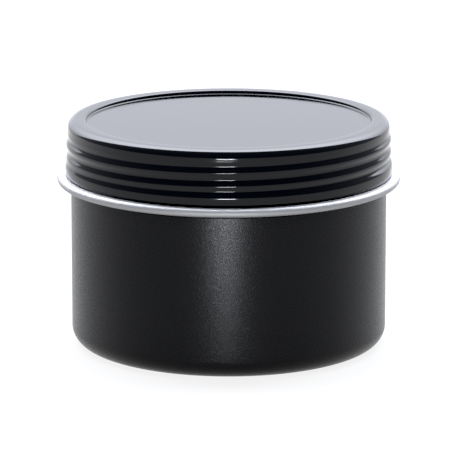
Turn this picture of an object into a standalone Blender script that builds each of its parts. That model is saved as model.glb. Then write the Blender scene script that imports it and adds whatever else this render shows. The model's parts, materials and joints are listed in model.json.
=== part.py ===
"""Shoe polish tin: a drawn aluminium tin with a rolled bead, a screw lid, a foam liner and the polish.

Units are metres and +Z is up. The origin is the centre of the underside of the base, and the tin
stands on the plane z = 0. The lid is shown screwed down. The thread is right-handed, so the lid
comes off counter-clockwise as seen from above.
"""
import math

import bpy

MM = 0.001

# The metal sheet, and the rotary resolution
SHEET = 0.30 * MM
HALF_SHEET = SHEET / 2
SEGMENTS = 48

# Tin: outer sizes of the drawn body
BODY_R = 41.43 * MM
BASE_CORNER_R = 5.0 * MM

# Neck: the wall steps in, folds over the rim and comes down again outside itself
NECK_BORE_R = 40.70 * MM
NECKING_BOTTOM_Z = 42.3 * MM
NECKING_TOP_Z = 43.7 * MM
RIM_TOP_Z = 57.15 * MM
NECK_GROOVE_R = 41.56 * MM
NECK_FOOT_Z = 46.4 * MM

# Bead: the folded sheet rolls outward and back under itself
BEAD_R = 43.90 * MM
BEAD_Z = 44.40 * MM
BEAD_THICKNESS = 2.20 * MM
BEAD_END_ANGLE = -150.0
FLARE_R = 1.0 * MM

# Thread: one wave rolled into both walls, so that the lid's nests on the neck's
THREAD_PITCH = 3.5 * MM
THREAD_DEPTH = 0.48 * MM
THREAD_FADE = 2.6 * MM
THREAD_ROWS = 16
GROOVE_Z = 52.55 * MM
GROOVE_ANGLE = -math.pi / 2

# Lid: outer sizes of the drawn cap
LID_TOP_Z = 60.10 * MM
PANEL_R = 37.35 * MM
PANEL_DEPTH = 1.05 * MM
PANEL_FILLET_R = 0.50 * MM
SHOULDER_R = 42.15 * MM
SHOULDER_ROUND_R = 2.20 * MM
LID_THREAD_R = 42.36 * MM
LID_THREAD_FOOT_Z = 47.7 * MM
LID_BAND_R = 42.90 * MM
LID_BOTTOM_Z = 45.80 * MM

# Liner and polish, each 0.3 mm clear of the metal around it
GAP = 0.30 * MM
LINER_R = 41.50 * MM
LINER_THICKNESS = 1.00 * MM
LINER_EDGE = 0.15 * MM
FILL_Z = 41.0 * MM
DISH_DEPTH = 0.6 * MM
DISH_STEPS = 4
MENISCUS_R = 0.5 * MM


def clear_scene():
    """Remove every object, so that the script can run twice in one file."""
    for obj in list(bpy.data.objects):
        bpy.data.objects.remove(obj)


def make_material(name, colour, roughness, metallic):
    """A Principled material with one colour."""
    material = bpy.data.materials.new(name)
    material.use_nodes = True
    shader = material.node_tree.nodes["Principled BSDF"]
    shader.inputs["Base Color"].default_value = (*colour, 1.0)
    shader.inputs["Roughness"].default_value = roughness
    shader.inputs["Metallic"].default_value = metallic
    return material


def arc(centre_r, centre_z, radius, start, end, steps):
    """Points of a round stretch of an outline; angles in degrees from +r, towards +Z."""
    angles = [math.radians(start + (end - start) * i / steps) for i in range(steps + 1)]
    return [(centre_r + radius * math.cos(a), centre_z + radius * math.sin(a)) for a in angles]


def ease(share):
    """Smooth step from 0 to 1."""
    share = min(max(share, 0.0), 1.0)
    return share * share * (3 - 2 * share)


def thread_strength(z, foot, top):
    """1 along the thread, easing to 0 at its foot and at its top."""
    return ease((z - foot) / THREAD_FADE) * ease((top - z) / THREAD_FADE)


def threaded_wall(top_r, thread_r, foot_r, top, foot):
    """Outline of a wall that carries a thread: its middle radius, from the top down."""
    rows = []
    for i in range(THREAD_ROWS + 1):
        z = top + (foot - top) * i / THREAD_ROWS
        end_r = top_r if i < THREAD_ROWS / 2 else foot_r
        strength = thread_strength(z, foot, top)
        rows.append((end_r + (thread_r - end_r) * strength, z))
    return rows


def press_thread(mesh, wall_r, foot, top):
    """Push the wall outside wall_r in and out along a right-hand helix."""
    for vertex in mesh.vertices:
        x, y, z = vertex.co
        radius = math.hypot(x, y)
        if radius < wall_r:
            continue
        turns = (z - GROOVE_Z) / THREAD_PITCH - (math.atan2(y, x) - GROOVE_ANGLE) / math.tau
        push = -THREAD_DEPTH / 2 * math.cos(math.tau * turns) * thread_strength(z, foot, top)
        vertex.co.x += push * x / radius
        vertex.co.y += push * y / radius


def turned(name, outline, collection):
    """Object made by turning an outline of (r, z) points once round the Z axis."""
    mesh = bpy.data.meshes.new(name)
    edges = [(i, i + 1) for i in range(len(outline) - 1)]
    mesh.from_pydata([(r, 0.0, z) for r, z in outline], edges, [])
    obj = bpy.data.objects.new(name, mesh)
    collection.objects.link(obj)
    screw = obj.modifiers.new("turn", "SCREW")
    screw.steps = SEGMENTS
    screw.render_steps = SEGMENTS
    screw.use_merge_vertices = True
    screw.merge_threshold = 0.00001
    return obj


def apply_modifiers(obj):
    """Make the evaluated shape the object's own mesh."""
    shape = obj.evaluated_get(bpy.context.evaluated_depsgraph_get())
    mesh = bpy.data.meshes.new_from_object(shape)
    obj.modifiers.clear()
    obj.data = mesh


def thicken(obj):
    """Give a sheet its thickness, half to each side."""
    solidify = obj.modifiers.new("sheet", "SOLIDIFY")
    solidify.thickness = SHEET
    solidify.offset = 0.0
    solidify.use_even_offset = True


def finish(obj, material):
    """Assign the material and shade the round faces smooth."""
    obj.data.materials.append(material)
    obj.data.shade_smooth()
    obj.data.set_sharp_from_angle(angle=math.radians(35))


def tin_outline():
    """Middle line of the tin's sheet, from the centre of the base to the end of the curl."""
    inner_r = NECK_BORE_R + HALF_SHEET
    outer_r = NECK_GROOVE_R - HALF_SHEET
    thread_r = outer_r + THREAD_DEPTH / 2
    fold_r = (outer_r - inner_r) / 2
    fold_z = RIM_TOP_Z - HALF_SHEET - fold_r
    curl_r = BEAD_THICKNESS / 2 - HALF_SHEET
    flare_z = BEAD_Z + curl_r + FLARE_R
    corner_r = BASE_CORNER_R - HALF_SHEET
    points = [(0.0, HALF_SHEET)]
    points += arc(BODY_R - BASE_CORNER_R, BASE_CORNER_R, corner_r, -90, 0, 4)
    points += necking(BODY_R - HALF_SHEET, inner_r)
    points += arc(inner_r + fold_r, fold_z, fold_r, 180, 0, 4)
    points += threaded_wall(outer_r, thread_r, outer_r, fold_z, NECK_FOOT_Z)[1:]
    points += arc(outer_r + FLARE_R, flare_z, FLARE_R, 180, 270, 3)
    points += arc(BEAD_R, BEAD_Z, curl_r, 90, BEAD_END_ANGLE, 8)
    return points, fold_z


def necking(wall_r, neck_r):
    """The S-shaped step between the wall and the neck."""
    steps = 3
    points = []
    for i in range(steps + 1):
        z = NECKING_BOTTOM_Z + (NECKING_TOP_Z - NECKING_BOTTOM_Z) * i / steps
        points.append((wall_r + (neck_r - wall_r) * ease(i / steps), z))
    return points


def lid_outline():
    """Middle line of the lid's sheet, from the centre of the panel to the bottom edge."""
    panel_z = LID_TOP_Z - PANEL_DEPTH - HALF_SHEET
    crest_z = LID_TOP_Z - HALF_SHEET
    recess_r = PANEL_R + HALF_SHEET
    crest_r = PANEL_DEPTH - PANEL_FILLET_R
    round_r = SHOULDER_ROUND_R - HALF_SHEET
    shoulder_z = crest_z - round_r
    points = [(0.0, panel_z)]
    points += arc(recess_r - PANEL_FILLET_R, panel_z + PANEL_FILLET_R, PANEL_FILLET_R, -90, 0, 3)
    points += arc(recess_r + crest_r, crest_z - crest_r, crest_r, 180, 90, 3)[1:]
    points += arc(SHOULDER_R - SHOULDER_ROUND_R, shoulder_z, round_r, 90, 0, 4)
    points += threaded_wall(
        SHOULDER_R - HALF_SHEET,
        LID_THREAD_R - HALF_SHEET,
        LID_BAND_R - HALF_SHEET,
        shoulder_z,
        LID_THREAD_FOOT_Z,
    )[1:]
    points.append((LID_BAND_R - HALF_SHEET, LID_BOTTOM_Z))
    return points, shoulder_z


def make_tin_body(collection):
    """The drawn tin, with its threaded neck and its bead, in one sheet."""
    outline, thread_top = tin_outline()
    obj = turned("tin_body", outline, collection)
    apply_modifiers(obj)
    between_layers = (NECK_BORE_R + NECK_GROOVE_R) / 2
    press_thread(obj.data, between_layers, NECK_FOOT_Z, thread_top)
    thicken(obj)
    finish(obj, make_material("black_enamel_satin", (0.02, 0.02, 0.022), 0.45, 0.0))


def make_lid(collection):
    """The drawn screw lid. Its origin is on the tin's axis, which it turns about."""
    outline, thread_top = lid_outline()
    obj = turned("lid", outline, collection)
    apply_modifiers(obj)
    press_thread(obj.data, PANEL_R, LID_THREAD_FOOT_Z, thread_top)
    thicken(obj)
    finish(obj, make_material("black_enamel_gloss", (0.012, 0.012, 0.014), 0.12, 0.0))


def make_liner(collection):
    """The foam disc that lies under the lid's panel and seals on the rim."""
    top = LID_TOP_Z - PANEL_DEPTH - SHEET - GAP
    bottom = top - LINER_THICKNESS
    outline = [
        (0.0, top),
        (LINER_R - LINER_EDGE, top),
        (LINER_R, top - LINER_EDGE),
        (LINER_R, bottom + LINER_EDGE),
        (LINER_R - LINER_EDGE, bottom),
        (0.0, bottom),
    ]
    obj = turned("liner_disc", outline, collection)
    finish(obj, make_material("foam", (0.8, 0.8, 0.78), 0.7, 0.0))


def make_polish(collection):
    """The poured cake of wax: a shallow dish on top, and the tin's own corner below."""
    wall_r = BODY_R - SHEET - GAP
    floor_z = SHEET + GAP
    outline = []
    for i in range(DISH_STEPS + 1):
        share = i / DISH_STEPS
        outline.append(((wall_r - 2 * MENISCUS_R) * share, FILL_Z - DISH_DEPTH * (1 - share * share)))
    outline += arc(wall_r - MENISCUS_R, FILL_Z, MENISCUS_R, 90, 0, 2)
    corner_r = BASE_CORNER_R - floor_z
    outline += arc(wall_r - corner_r, floor_z + corner_r, corner_r, 0, -90, 4)
    outline.append((0.0, floor_z))
    obj = turned("polish", outline, collection)
    finish(obj, make_material("wax", (0.015, 0.013, 0.012), 0.35, 0.0))


def main():
    clear_scene()
    collection = bpy.data.collections.new("shoe_polish_tin")
    bpy.context.scene.collection.children.link(collection)
    make_tin_body(collection)
    make_polish(collection)
    make_liner(collection)
    make_lid(collection)


main()
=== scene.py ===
"""Looks of the shoe polish tin: enamelled and bare sheet metal, foam and wax, in a plain white studio."""

import json
import math

import bpy
import numpy as np
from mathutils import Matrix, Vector


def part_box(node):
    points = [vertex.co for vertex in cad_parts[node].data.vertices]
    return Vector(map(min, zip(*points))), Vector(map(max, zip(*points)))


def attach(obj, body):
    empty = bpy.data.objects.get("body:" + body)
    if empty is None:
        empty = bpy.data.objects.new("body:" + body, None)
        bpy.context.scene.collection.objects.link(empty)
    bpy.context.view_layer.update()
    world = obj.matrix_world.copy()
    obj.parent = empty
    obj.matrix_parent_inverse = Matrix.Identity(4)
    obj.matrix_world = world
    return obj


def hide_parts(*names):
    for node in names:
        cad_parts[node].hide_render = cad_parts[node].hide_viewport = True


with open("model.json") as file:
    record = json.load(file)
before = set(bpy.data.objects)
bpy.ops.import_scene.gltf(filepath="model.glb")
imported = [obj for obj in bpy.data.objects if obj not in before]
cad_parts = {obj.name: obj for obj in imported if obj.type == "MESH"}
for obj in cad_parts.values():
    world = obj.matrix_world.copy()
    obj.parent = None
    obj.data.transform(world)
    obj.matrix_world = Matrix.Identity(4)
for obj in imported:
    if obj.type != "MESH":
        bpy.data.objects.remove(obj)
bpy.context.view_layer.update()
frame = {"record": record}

MM = 0.001

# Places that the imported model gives
TIN_LOW, TIN_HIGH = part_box("tin_body")
LID_LOW, LID_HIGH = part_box("lid")
LINER_LOW, LINER_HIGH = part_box("liner_disc")
POLISH_LOW, POLISH_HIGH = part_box("polish")
PITCH = frame["record"]["behaviour"]["couplings"][0]["ratio"] * math.tau

# The metal sheet and the air gap between neighbours
SHEET = 0.30 * MM
HALF = SHEET / 2
GAP = 0.30 * MM

# Tin
BODY_R = POLISH_HIGH.x + GAP + SHEET
BASE_CORNER_R = 5.0 * MM
NECK_BORE_R = 40.70 * MM
NECKING_BOTTOM_Z = 42.3 * MM
NECKING_TOP_Z = 43.7 * MM
RIM_TOP_Z = TIN_HIGH.z
NECK_GROOVE_R = 41.56 * MM
NECK_FOOT_Z = 46.4 * MM
BEAD_TUBE_R = 1.10 * MM
BEAD_R = 43.90 * MM
BEAD_Z = 44.40 * MM
BEAD_END_ANGLE = -150.0
FLARE_R = 1.0 * MM

# Lid
LID_TOP_Z = LID_HIGH.z
LID_BOTTOM_Z = LID_LOW.z
LID_BAND_R = LID_HIGH.x
PANEL_R = 37.35 * MM
PANEL_DEPTH = 1.05 * MM
PANEL_FILLET_R = 0.50 * MM
SHOULDER_R = 42.15 * MM
SHOULDER_ROUND_R = 2.20 * MM
LID_THREAD_R = 42.36 * MM
LID_THREAD_FOOT_Z = 47.7 * MM
LID_STRAIGHT = 0.9 * MM
LID_WAVE_START = 0.45 * MM

# Thread wave, in step on both walls
THREAD_DEPTH = 0.48 * MM
THREAD_FADE = 2.6 * MM
GROOVE_Z = 52.55 * MM
GROOVE_ANGLE = -math.pi / 2

# Liner and polish
LINER_EDGE_R = 0.2 * MM
DISH_DEPTH = 0.6 * MM
MENISCUS_R = 0.5 * MM

# Fineness of the meshes
SEGMENTS = 288
ROW_STEP = 0.20 * MM
LONGEST_ROW = 3 * MM

# Floor: a sheet of paper lit from behind, a hair below the tin
FLOOR_HALF = 3.0
FLOOR_Z = -0.02 * MM
FLOOR_ALBEDO = 0.075
FLOOR_GLOW = 0.85

# Room and screen: brightness, the direction of the screen's middle, and the cosine at its edge
ROOM = 0.5
SCREEN_LOW = 1.53
SCREEN_ABOVE = 16.0
SCREEN_BESIDE = 20.0
SCREEN_Y = 0.8046
SCREEN_Z = 0.5938
SCREEN_EDGE = 0.594
SCREEN_SOFTNESS = 0.02
ROOM_COLOUR = (0.93, 0.96, 1.06)

# Lamps: place, width, height and brightness
LAMP_COLOUR = (0.93, 0.96, 1.03)
FRONT_LAMP_AT = (-0.012, -0.38, 0.007)
FRONT_LAMP_TOWARDS = (-0.012, 0.0, 0.007)
FRONT_LAMP = (0.077, 0.012, 95.0)
LOW_LAMP_AT = (-0.010, -0.205, 0.0005)
LOW_LAMP_TOWARDS = (-0.010, -0.205, 1.0)
LOW_LAMP = (0.045, 0.080, 15.0)

# Camera and levels
CAMERA_ELEVATION = math.radians(13.1)
CAMERA_DISTANCE = 24 * BODY_R
CAMERA_AIM = (-0.99 * MM, 0.0, 0.753 * BODY_R)
CAMERA_LENS = 301.7
SENSOR_WIDTH = 36.0
BLACK_POINT = 0.015


# ---------------------------------------------------------------- outlines

def arc(centre_r, centre_z, radius, start, end, steps=12):
    """Points of a round stretch of an outline; angles in degrees from +r, towards +Z."""
    angles = np.radians(np.linspace(start, end, steps + 1))
    return list(zip(centre_r + radius * np.cos(angles), centre_z + radius * np.sin(angles)))


def ease(share):
    """Smooth step from 0 to 1."""
    share = np.clip(share, 0.0, 1.0)
    return share * share * (3 - 2 * share)


def thread_strength(z, foot, top):
    """1 along the thread, easing to 0 at its foot and at its top."""
    return ease((z - foot) / THREAD_FADE) * ease((top - z) / THREAD_FADE)


def threaded_wall(top_r, thread_r, foot_r, top, foot, straight=0.0):
    """Outline of a wall that carries a thread: its middle radius, from the top down, straight at first."""
    z = np.linspace(top, foot, round((top - foot) / ROW_STEP) + 1)
    end_r = np.where(z > (top + foot) / 2, top_r, foot_r)
    r = end_r + (thread_r - end_r) * thread_strength(z, foot, top - straight)
    return list(zip(r, z))


def densify(points, longest):
    """Split the long straight stretches of an outline."""
    out = [points[0]]
    for (r0, z0), (r1, z1) in zip(points, points[1:]):
        parts = max(1, math.ceil(math.hypot(r1 - r0, z1 - z0) / longest))
        out += [(r0 + (r1 - r0) * i / parts, z0 + (z1 - z0) * i / parts) for i in range(1, parts + 1)]
    return out


def tin_outline():
    """Middle line of the tin's sheet, from the centre of the base to the end of the curl."""
    inner_r = NECK_BORE_R + HALF
    outer_r = NECK_GROOVE_R - HALF
    fold_r = (outer_r - inner_r) / 2
    fold_z = RIM_TOP_Z - HALF - fold_r
    curl_r = BEAD_TUBE_R - HALF
    share = np.linspace(0, 1, 10)
    necking_r = BODY_R - HALF + (inner_r - BODY_R + HALF) * ease(share)
    necking_z = NECKING_BOTTOM_Z + (NECKING_TOP_Z - NECKING_BOTTOM_Z) * share
    points = [(0.0, HALF)]
    points += arc(BODY_R - BASE_CORNER_R, BASE_CORNER_R, BASE_CORNER_R - HALF, -90, 0, 20)
    points += list(zip(necking_r, necking_z))
    points += arc(inner_r + fold_r, fold_z, fold_r, 180, 0, 12)
    points += threaded_wall(outer_r, outer_r + THREAD_DEPTH / 2, outer_r, fold_z, NECK_FOOT_Z)[1:]
    points += arc(outer_r + FLARE_R, BEAD_Z + curl_r + FLARE_R, FLARE_R, 180, 270, 8)
    points += arc(BEAD_R, BEAD_Z, curl_r, 90, BEAD_END_ANGLE, 32)
    return points, fold_z


def lid_outline():
    """Middle line of the lid's sheet, from the centre of the panel to the bottom edge."""
    panel_z = LID_TOP_Z - PANEL_DEPTH - HALF
    crest_z = LID_TOP_Z - HALF
    recess_r = PANEL_R + HALF
    crest_r = PANEL_DEPTH - PANEL_FILLET_R
    round_r = SHOULDER_ROUND_R - HALF
    shoulder_z = crest_z - round_r
    points = [(0.0, panel_z)]
    points += arc(recess_r - PANEL_FILLET_R, panel_z + PANEL_FILLET_R, PANEL_FILLET_R, -90, 0, 8)
    points += arc(recess_r + crest_r, crest_z - crest_r, crest_r, 180, 90, 8)[1:]
    points += arc(SHOULDER_R - SHOULDER_ROUND_R, shoulder_z, round_r, 90, 0, 16)
    radii = SHOULDER_R - HALF, LID_THREAD_R - HALF, LID_BAND_R - HALF
    points += threaded_wall(*radii, shoulder_z, LID_THREAD_FOOT_Z, LID_STRAIGHT)[1:]
    points.append((LID_BAND_R - HALF, LID_BOTTOM_Z + HALF))
    return points, shoulder_z


# ---------------------------------------------------------------- meshes

def offset_line(line, distance):
    """The outline moved sideways by distance, to the left of its direction."""
    line = np.array(line)
    along = np.gradient(line, axis=0)
    along /= np.linalg.norm(along, axis=1)[:, None]
    moved = line + distance * np.column_stack([-along[:, 1], along[:, 0]])
    moved[0, 0] = 0.0
    return moved


def sheet_section(line):
    """Closed section of a sheet round its middle line, from axis to axis, and the row where its back starts."""
    front = offset_line(line, HALF)
    back = offset_line(line, -HALF)
    tip = np.array(line[-1])
    across = front[-1] - tip
    ahead = np.array([across[1], -across[0]])
    edge = [tip + across * math.cos(a) + ahead * math.sin(a) for a in np.radians([30, 60, 90, 120, 150])]
    section = np.vstack([front, edge, back[::-1]])
    return section, len(front) + len(edge) // 2


def turned(name, section, wave=None):
    """Closed mesh made by turning a section, axis to axis, once round Z. wave moves points outward."""
    angles = np.arange(SEGMENTS) * math.tau / SEGMENTS
    rings = section[1:-1]
    radius = np.repeat(rings[:, 0:1], SEGMENTS, axis=1)
    height = np.repeat(rings[:, 1:2], SEGMENTS, axis=1)
    theta = np.repeat(angles[None, :], len(rings), axis=0)
    if wave:
        radius = radius + wave(theta, height, radius)
    points = np.stack([radius * np.cos(theta), radius * np.sin(theta), height], axis=-1).reshape(-1, 3)
    first, last = len(points), len(points) + 1
    points = np.vstack([points, [0, 0, section[0, 1]], [0, 0, section[-1, 1]]])
    near = np.arange(SEGMENTS)
    far = (near + 1) % SEGMENTS
    faces = np.column_stack([np.full(SEGMENTS, first), near, far]).tolist()
    for row in range(len(rings) - 1):
        a, b = row * SEGMENTS, (row + 1) * SEGMENTS
        faces += np.column_stack([a + near, b + near, b + far, a + far]).tolist()
    end = (len(rings) - 1) * SEGMENTS
    faces += np.column_stack([np.full(SEGMENTS, last), end + far, end + near]).tolist()
    mesh = bpy.data.meshes.new(name)
    mesh.from_pydata(points.tolist(), [], faces)
    mesh.shade_smooth()
    obj = bpy.data.objects.new(name, mesh)
    bpy.context.scene.collection.objects.link(obj)
    return obj


def thread_wave(foot, top, outside):
    """The helical wave of the wall that lies further out than the radius given."""
    def wave(theta, z, radius):
        turns = (z - GROOVE_Z) / PITCH - (theta - GROOVE_ANGLE) / math.tau
        push = -THREAD_DEPTH / 2 * np.cos(math.tau * turns) * thread_strength(z, foot, top)
        return np.where(radius > outside, push, 0.0)
    return wave


def paint_rows(obj, first_row, last_row, index):
    """Give the rings of faces from one row of the section to another a material index."""
    for polygon in obj.data.polygons[first_row * SEGMENTS:last_row * SEGMENTS]:
        polygon.material_index = index


# ---------------------------------------------------------------- materials

def new_material(name, colour, roughness, metallic=0.0, ior=1.45):
    """A Principled material and the handles to add nodes to it."""
    material = bpy.data.materials.new(name)
    material.use_nodes = True
    tree = material.node_tree
    shader = tree.nodes["Principled BSDF"]
    shader.inputs["Base Color"].default_value = (*colour, 1)
    shader.inputs["Roughness"].default_value = roughness
    shader.inputs["Metallic"].default_value = metallic
    shader.inputs["IOR"].default_value = ior
    return material, tree, shader


def add(tree, kind, **settings):
    """A node with its inputs set: inputs by name, with _ for a space, and properties by name."""
    node = tree.nodes.new(kind)
    for key, value in settings.items():
        if hasattr(node, key):
            setattr(node, key, value)
        else:
            node.inputs[key.replace("_", " ")].default_value = value
    return node


def position(tree, scale=(1, 1, 1)):
    """Object coordinates in metres, stretched per axis."""
    coords = add(tree, "ShaderNodeTexCoord")
    mapping = add(tree, "ShaderNodeMapping", Scale=scale)
    tree.links.new(coords.outputs["Object"], mapping.inputs["Vector"])
    return mapping.outputs["Vector"]


def noise(tree, vector, size, detail=2.0, rough=0.5):
    """Noise with features of the given size in metres."""
    node = add(tree, "ShaderNodeTexNoise", Scale=1 / size, Detail=detail, Roughness=rough)
    tree.links.new(vector, node.inputs["Vector"])
    return node.outputs["Fac"]


def ramp_to(tree, value, socket, low, high, start=0.0, end=1.0):
    """Drive a socket between two values by another value."""
    node = add(tree, "ShaderNodeMapRange", From_Min=start, From_Max=end, To_Min=low, To_Max=high)
    tree.links.new(value, node.inputs["Value"])
    tree.links.new(node.outputs["Result"], socket)
    return node.outputs["Result"]


def bump(tree, height, shader, distance, strength=1.0):
    """Surface relief of a real height in metres."""
    node = add(tree, "ShaderNodeBump", Distance=distance, Strength=strength)
    tree.links.new(height, node.inputs["Height"])
    tree.links.new(node.outputs["Normal"], shader.inputs["Normal"])


def gloss_enamel():
    """Smooth black stoving enamel, with a faint waviness."""
    material, tree, shader = new_material("gloss_enamel", (0.002, 0.002, 0.0024), 0.08, ior=1.42)
    where = position(tree)
    ramp_to(tree, noise(tree, where, 6 * MM, 4.0), shader.inputs["Roughness"], 0.06, 0.12, 0.35, 0.65)
    bump(tree, noise(tree, where, 0.8 * MM, 2.0), shader, 0.002 * MM)
    return material


def satin_enamel():
    """Black enamel with a fine grain, which sparkles where a lamp is mirrored."""
    material, tree, shader = new_material("satin_enamel", (0.002, 0.002, 0.0024), 0.28, ior=1.35)
    where = position(tree)
    ramp_to(tree, noise(tree, where, 0.3 * MM, 0.0), shader.inputs["Roughness"], 0.23, 0.35, 0.35, 0.65)
    bump(tree, noise(tree, where, 0.28 * MM, 0.0), shader, 0.036 * MM)
    return material


def bare_metal():
    """Plain aluminium with the fine rings that drawing leaves."""
    material, tree, shader = new_material("bare_metal", (0.33, 0.33, 0.333), 0.58, metallic=1.0)
    rings = position(tree, (1, 1, 40))
    ramp_to(tree, noise(tree, rings, 4 * MM, 3.0), shader.inputs["Roughness"], 0.52, 0.64, 0.3, 0.7)
    bump(tree, noise(tree, position(tree), 0.5 * MM, 3.0), shader, 0.006 * MM)
    return material


def foam():
    """White closed-cell foam."""
    material, tree, shader = new_material("foam", (0.82, 0.82, 0.80), 0.6)
    bump(tree, noise(tree, position(tree), 0.5 * MM, 3.0), shader, 0.03 * MM)
    return material


def wax():
    """Poured black wax, with soft dull patches."""
    material, tree, shader = new_material("wax", (0.012, 0.011, 0.010), 0.3, ior=1.44)
    where = position(tree)
    ramp_to(tree, noise(tree, where, 5 * MM, 4.0), shader.inputs["Roughness"], 0.22, 0.42, 0.3, 0.7)
    bump(tree, noise(tree, where, 7 * MM, 4.0), shader, 0.12 * MM)
    return material


# ---------------------------------------------------------------- pieces

def make_tin(outside, bare):
    """The tin's sheet. Going out and up from the base, its left side is its inside, bare metal all over."""
    line, thread_top = tin_outline()
    section, back_start = sheet_section(densify(line, LONGEST_ROW))
    between_layers = (NECK_BORE_R + NECK_GROOVE_R) / 2
    obj = turned("tin_sheet", section, thread_wave(NECK_FOOT_Z, thread_top, between_layers))
    place(obj, "tin", "tin_body", "body_enamel", bare, outside)
    paint_rows(obj, back_start, len(section), 1)
    return obj


def make_lid(outside, bare):
    """The lid's sheet. Going out and down from the panel, its left side is its outside."""
    line, thread_top = lid_outline()
    section, back_start = sheet_section(densify(line, LONGEST_ROW))
    wave = thread_wave(LID_THREAD_FOOT_Z, thread_top - LID_WAVE_START, PANEL_R)
    obj = turned("lid_sheet", section, wave)
    place(obj, "lid", "lid", "lid_enamel", outside, bare)
    paint_rows(obj, back_start, len(section), 1)


def make_liner():
    """The foam disc, with a small round on both edges."""
    edge_r = LINER_HIGH.x - LINER_EDGE_R
    section = [(0, LINER_HIGH.z)]
    section += arc(edge_r, LINER_HIGH.z - LINER_EDGE_R, LINER_EDGE_R, 90, 0, 5)
    section += arc(edge_r, LINER_LOW.z + LINER_EDGE_R, LINER_EDGE_R, 0, -90, 5)
    section += [(0, LINER_LOW.z)]
    obj = turned("liner_foam", np.array(densify(section, LONGEST_ROW)))
    place(obj, "liner", "liner_disc", "liner_foam", foam())


def make_polish():
    """The cake of wax: a shallow dish on top, and the tin's own corner below."""
    fill_z = POLISH_HIGH.z - MENISCUS_R
    wall_r = POLISH_HIGH.x
    corner_r = BASE_CORNER_R - POLISH_LOW.z
    share = np.linspace(0, 1, 24)
    section = list(zip((wall_r - 2 * MENISCUS_R) * share, fill_z - DISH_DEPTH * (1 - share ** 2)))
    section += arc(wall_r - MENISCUS_R, fill_z, MENISCUS_R, 90, 0, 6)
    section += arc(wall_r - corner_r, POLISH_LOW.z + corner_r, corner_r, 0, -90, 12)
    section += [(0, POLISH_LOW.z)]
    obj = turned("polish_cake", np.array(densify(section, LONGEST_ROW)))
    place(obj, "tin", "polish", "wax", wax())


def place(obj, body, node, slot, *materials):
    """Give a mesh its materials and its body, and hide the node that it stands for. The slot is not used."""
    for material in materials:
        obj.data.materials.append(material)
    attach(obj, body)
    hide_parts(node)


# ---------------------------------------------------------------- studio

def plane(name, corners):
    """Stage object of one rectangle."""
    mesh = bpy.data.meshes.new(name)
    mesh.from_pydata(corners, [], [(0, 1, 2, 3)])
    obj = bpy.data.objects.new(name, mesh)
    bpy.context.scene.collection.objects.link(obj)
    return obj


def make_floor():
    """White sheet lit from both sides, so that shadows on it stay pale."""
    signs = [(-1, -1), (1, -1), (1, 1), (-1, 1)]
    floor = plane("floor", [(x * FLOOR_HALF, y * FLOOR_HALF, FLOOR_Z) for x, y in signs])
    material, tree, shader = new_material("white_sheet", (FLOOR_ALBEDO,) * 3, 0.9)
    shader.inputs["Emission Color"].default_value = (1, 1, 1, 1)
    shader.inputs["Emission Strength"].default_value = FLOOR_GLOW
    shader.inputs["Specular IOR Level"].default_value = 0.0
    floor.data.materials.append(material)


def math_node(tree, operation, first, second):
    """Result of a Math node on two sockets or numbers."""
    node = add(tree, "ShaderNodeMath", operation=operation)
    for socket, value in zip(node.inputs, (first, second)):
        if isinstance(value, (int, float)):
            socket.default_value = value
        else:
            tree.links.new(value, socket)
    return node.outputs["Value"]


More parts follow.
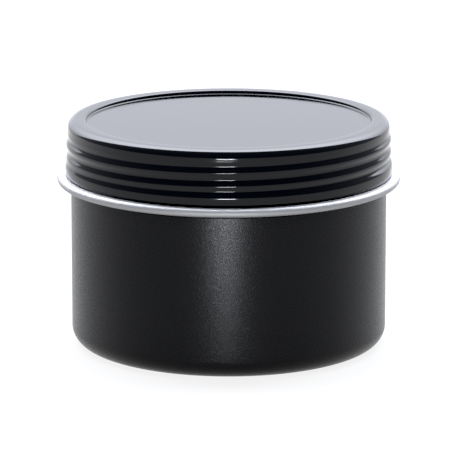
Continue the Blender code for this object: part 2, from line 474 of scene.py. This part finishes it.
def make_world():
    """Dim room in front; behind and overhead one large bright screen, brighter above and at its sides."""
    world = bpy.data.worlds.new("studio")
    world.use_nodes = True
    bpy.context.scene.world = world
    tree = world.node_tree
    background = tree.nodes["Background"]
    coords = add(tree, "ShaderNodeTexCoord")
    split = add(tree, "ShaderNodeSeparateXYZ")
    tree.links.new(coords.outputs["Generated"], split.inputs["Vector"])
    x, y, z = split.outputs["X"], split.outputs["Y"], split.outputs["Z"]
    along_y = math_node(tree, "MULTIPLY", y, SCREEN_Y)
    towards = math_node(tree, "ADD", along_y, math_node(tree, "MULTIPLY", z, SCREEN_Z))
    start, end = SCREEN_EDGE - SCREEN_SOFTNESS, SCREEN_EDGE + SCREEN_SOFTNESS
    inside = add(tree, "ShaderNodeMapRange", From_Min=start, From_Max=end)
    tree.links.new(towards, inside.inputs["Value"])
    height = math_node(tree, "MAXIMUM", z, 0.0)
    above = math_node(tree, "MULTIPLY", math_node(tree, "POWER", height, 3.0), SCREEN_ABOVE)
    sideways = math_node(tree, "MULTIPLY", math_node(tree, "MULTIPLY", x, x), height)
    beside = math_node(tree, "MULTIPLY", sideways, SCREEN_BESIDE)
    bright = math_node(tree, "ADD", math_node(tree, "ADD", above, beside), SCREEN_LOW - ROOM)
    level = math_node(tree, "ADD", math_node(tree, "MULTIPLY", bright, inside.outputs["Result"]), ROOM)
    tree.links.new(level, background.inputs["Strength"])
    background.inputs["Color"].default_value = (*ROOM_COLOUR, 1)


def area_light(name, place_at, aim_at, size_x, size_y, radiance):
    """Rectangular lamp that the camera doesn't see."""
    data = bpy.data.lights.new(name, "AREA")
    data.shape = "RECTANGLE"
    data.size, data.size_y = size_x, size_y
    data.energy = radiance * math.pi * size_x * size_y
    data.color = LAMP_COLOUR
    light = bpy.data.objects.new(name, data)
    bpy.context.scene.collection.objects.link(light)
    light.location = place_at
    light.rotation_euler = (Vector(aim_at) - Vector(place_at)).to_track_quat("-Z", "Y").to_euler()
    light.visible_camera = False
    return light


def light_only(light, obj):
    """Let a light fall on one object."""
    receivers = bpy.data.collections.new(light.name + "_receivers")
    receivers.objects.link(obj)
    light.light_linking.receiver_collection = receivers


def make_camera():
    """Long lens, a little above the lid, on the tin's -Y side."""
    data = bpy.data.cameras.new("camera")
    data.sensor_width = SENSOR_WIDTH
    data.lens = CAMERA_LENS
    data.clip_end = 20.0
    camera = bpy.data.objects.new("camera", data)
    bpy.context.scene.collection.objects.link(camera)
    back = CAMERA_DISTANCE * math.cos(CAMERA_ELEVATION)
    up = CAMERA_DISTANCE * math.sin(CAMERA_ELEVATION)
    camera.location = (CAMERA_AIM[0], -back, CAMERA_AIM[2] + up)
    camera.rotation_euler = (math.pi / 2 - CAMERA_ELEVATION, 0, 0)
    bpy.context.scene.camera = camera


def set_levels():
    """Plain display, with the black point raised a little as for a catalogue picture."""
    view = bpy.context.scene.view_settings
    view.view_transform = "Standard"
    view.use_curve_mapping = True
    view.curve_mapping.black_level = (BLACK_POINT,) * 3
    view.curve_mapping.update()


metal = bare_metal()
tin = make_tin(satin_enamel(), metal)
make_lid(gloss_enamel(), metal)
make_liner()
make_polish()

make_floor()
make_world()
area_light("front_lamp", FRONT_LAMP_AT, FRONT_LAMP_TOWARDS, *FRONT_LAMP)
low_lamp = area_light("low_lamp", LOW_LAMP_AT, LOW_LAMP_TOWARDS, *LOW_LAMP)
light_only(low_lamp, tin)
make_camera()
set_levels()
